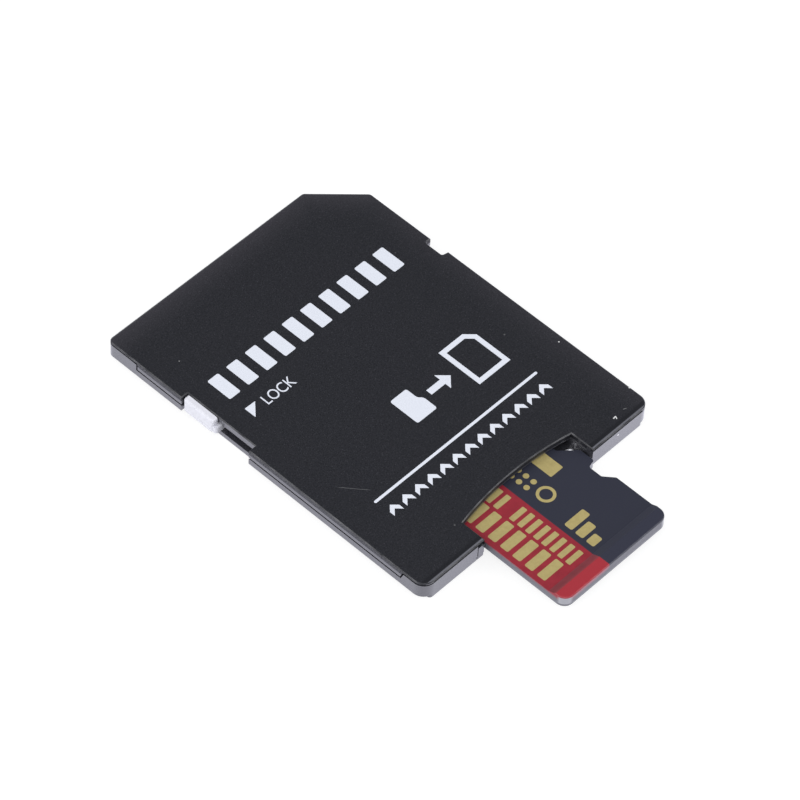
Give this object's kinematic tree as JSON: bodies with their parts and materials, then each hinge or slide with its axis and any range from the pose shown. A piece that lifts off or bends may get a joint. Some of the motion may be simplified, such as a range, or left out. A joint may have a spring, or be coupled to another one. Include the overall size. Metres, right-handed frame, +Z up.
{
  "type": "memory card in card adapter",
  "caption": "Small memory card half drawn out of a full-size card adapter with a thumb cut-out, a sliding write lock, spring terminals and a contact edge.",
  "frame": {"origin": "middle of the adapter's flat underside, halfway along its 32 mm length and 24 mm width", "axes": "+X across the adapter to its cut corner's side, +Y towards the edge that enters the host, +Z up to the printed face"},
  "size_m": [0.024, 0.0396, 0.0021],
  "materials": {
    "cover_plastic": "fine moulded texture, satin, printed in white",
    "shell_plastic": "smooth moulded",
    "slider_plastic": "smooth white",
    "spring_steel": "bright stamped",
    "gold_plate": "gold plated",
    "card_plastic": "moulded, face printed in red, grey and gold",
    "board_laminate": "black solder mask",
    "chip_silicon": "polished",
    "capacitor_body": "fired ceramic"
  },
  "bodies": {
    "adapter": {"top_cover": "cover_plastic", "bottom_shell": "shell_plastic", "latch_spring": "spring_steel", "terminal_data_2": "gold_plate", "terminal_data_3": "gold_plate", "terminal_command": "gold_plate", "terminal_power": "gold_plate", "terminal_clock": "gold_plate", "terminal_ground": "gold_plate", "terminal_data_0": "gold_plate", "terminal_data_1": "gold_plate"},
    "lock": {"lock_slider": "slider_plastic"},
    "card": {"card_body": "card_plastic", "card_board": "board_laminate", "card_contacts": "gold_plate", "card_memory_die_lower": "chip_silicon", "card_memory_die_upper": "chip_silicon", "card_controller_die": "chip_silicon", "card_capacitors": "capacitor_body"}
  },
  "joints": [
    {"name": "lock_slide", "type": "slide", "parent": "adapter", "child": "lock", "axis": [0, -1, 0], "range_m": [0, 0.00335]},
    {"name": "card_slide", "type": "slide", "parent": "adapter", "child": "card", "axis": [0, 1, 0], "range_m": [-0.008, 0.0076]}
  ]
}
